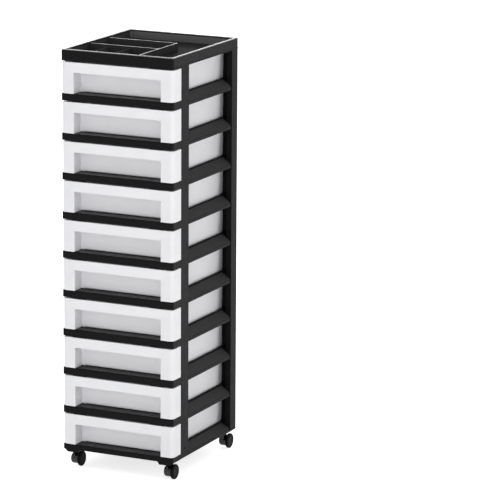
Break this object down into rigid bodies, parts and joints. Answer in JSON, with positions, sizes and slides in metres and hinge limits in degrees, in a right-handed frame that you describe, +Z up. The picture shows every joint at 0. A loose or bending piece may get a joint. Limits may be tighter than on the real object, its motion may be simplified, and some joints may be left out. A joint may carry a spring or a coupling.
{
  "type": "plastic drawer tower",
  "caption": "Tall rolling storage tower: a black plastic frame of stacked shelves on swivel casters, with shallow white pull-out drawers and a divided organizer tray on top.",
  "frame": {"origin": "on the floor under the middle of the tower's footprint", "axes": "+Z up, +X to the right seen from the front, the drawers open towards -Y"},
  "size_m": [0.306, 0.36, 1.055],
  "materials": {
    "black_plastic": "fine satin moulded black",
    "white_plastic": "translucent white, satin",
    "caster_plastic": "satin moulded black",
    "wheel_plastic": "hard black nylon, slightly glossy",
    "steel": "plain zinc-plated rod"
  },
  "bodies": {
    "frame": {"base_frame": "black_plastic", "front_post_left": "black_plastic", "front_post_right": "black_plastic", "rear_post_left": "black_plastic", "rear_post_right": "black_plastic", "organizer_top": "black_plastic", "shelf_1": "black_plastic", "shelf_2": "black_plastic", "shelf_3": "black_plastic", "shelf_4": "black_plastic", "shelf_5": "black_plastic", "shelf_6": "black_plastic", "shelf_7": "black_plastic", "shelf_8": "black_plastic", "shelf_9": "black_plastic", "caster_front_left_stem": "steel", "caster_front_right_stem": "steel", "caster_rear_left_stem": "steel", "caster_rear_right_stem": "steel"},
    "drawer_1": {"drawer_1": "white_plastic"},
    "drawer_2": {"drawer_2": "white_plastic"},
    "drawer_3": {"drawer_3": "white_plastic"},
    "drawer_4": {"drawer_4": "white_plastic"},
    "drawer_5": {"drawer_5": "white_plastic"},
    "drawer_6": {"drawer_6": "white_plastic"},
    "drawer_7": {"drawer_7": "white_plastic"},
    "drawer_8": {"drawer_8": "white_plastic"},
    "drawer_9": {"drawer_9": "white_plastic"},
    "drawer_10": {"drawer_10": "white_plastic"},
    "caster_front_left": {"caster_front_left_hood": "caster_plastic", "caster_front_left_axle": "steel"},
    "caster_front_left_wheel": {"caster_front_left_wheel": "wheel_plastic", "caster_front_left_cap": "caster_plastic"},
    "caster_front_right": {"caster_front_right_hood": "caster_plastic", "caster_front_right_axle": "steel"},
    "caster_front_right_wheel": {"caster_front_right_wheel": "wheel_plastic", "caster_front_right_cap": "caster_plastic"},
    "caster_rear_left": {"caster_rear_left_hood": "caster_plastic", "caster_rear_left_axle": "steel"},
    "caster_rear_left_wheel": {"caster_rear_left_wheel": "wheel_plastic", "caster_rear_left_cap": "caster_plastic"},
    "caster_rear_right": {"caster_rear_right_hood": "caster_plastic", "caster_rear_right_axle": "steel"},
    "caster_rear_right_wheel": {"caster_rear_right_wheel": "wheel_plastic", "caster_rear_right_cap": "caster_plastic"}
  },
  "joints": [
    {"name": "drawer_1_slide", "type": "slide", "parent": "frame", "child": "drawer_1", "axis": [0, -1, 0], "range_m": [0, 0.305]},
    {"name": "drawer_2_slide", "type": "slide", "parent": "frame", "child": "drawer_2", "axis": [0, -1, 0], "range_m": [0, 0.305]},
    {"name": "drawer_3_slide", "type": "slide", "parent": "frame", "child": "drawer_3", "axis": [0, -1, 0], "range_m": [0, 0.305]},
    {"name": "drawer_4_slide", "type": "slide", "parent": "frame", "child": "drawer_4", "axis": [0, -1, 0], "range_m": [0, 0.305]},
    {"name": "drawer_5_slide", "type": "slide", "parent": "frame", "child": "drawer_5", "axis": [0, -1, 0], "range_m": [0, 0.305]},
    {"name": "drawer_6_slide", "type": "slide", "parent": "frame", "child": "drawer_6", "axis": [0, -1, 0], "range_m": [0, 0.305]},
    {"name": "drawer_7_slide", "type": "slide", "parent": "frame", "child": "drawer_7", "axis": [0, -1, 0], "range_m": [0, 0.305]},
    {"name": "drawer_8_slide", "type": "slide", "parent": "frame", "child": "drawer_8", "axis": [0, -1, 0], "range_m": [0, 0.305]},
    {"name": "drawer_9_slide", "type": "slide", "parent": "frame", "child": "drawer_9", "axis": [0, -1, 0], "range_m": [0, 0.305]},
    {"name": "drawer_10_slide", "type": "slide", "parent": "frame", "child": "drawer_10", "axis": [0, -1, 0], "range_m": [0, 0.305]},
    {"name": "caster_front_left_swivel", "type": "hinge", "parent": "frame", "child": "caster_front_left", "pos_m": [-0.13, -0.149, 0.038], "axis": [0, 0, 1], "continuous": true},
    {"name": "caster_front_left_wheel_spin", "type": "hinge", "parent": "caster_front_left", "child": "caster_front_left_wheel", "pos_m": [-0.13, -0.155, 0.019], "axis": [1, 0, 0], "continuous": true},
    {"name": "caster_front_right_swivel", "type": "hinge", "parent": "frame", "child": "caster_front_right", "pos_m": [0.13, -0.149, 0.038], "axis": [0, 0, 1], "continuous": true},
    {"name": "caster_front_right_wheel_spin", "type": "hinge", "parent": "caster_front_right", "child": "caster_front_right_wheel", "pos_m": [0.13, -0.155, 0.019], "axis": [1, 0, 0], "continuous": true},
    {"name": "caster_rear_left_swivel", "type": "hinge", "parent": "frame", "child": "caster_rear_left", "pos_m": [-0.13, 0.149, 0.038], "axis": [0, 0, 1], "continuous": true},
    {"name": "caster_rear_left_wheel_spin", "type": "hinge", "parent": "caster_rear_left", "child": "caster_rear_left_wheel", "pos_m": [-0.13, 0.155, 0.019], "axis": [1, 0, 0], "continuous": true},
    {"name": "caster_rear_right_swivel", "type": "hinge", "parent": "frame", "child": "caster_rear_right", "pos_m": [0.13, 0.149, 0.038], "axis": [0, 0, 1], "continuous": true},
    {"name": "caster_rear_right_wheel_spin", "type": "hinge", "parent": "caster_rear_right", "child": "caster_rear_right_wheel", "pos_m": [0.13, 0.155, 0.019], "axis": [1, 0, 0], "continuous": true}
  ]
}
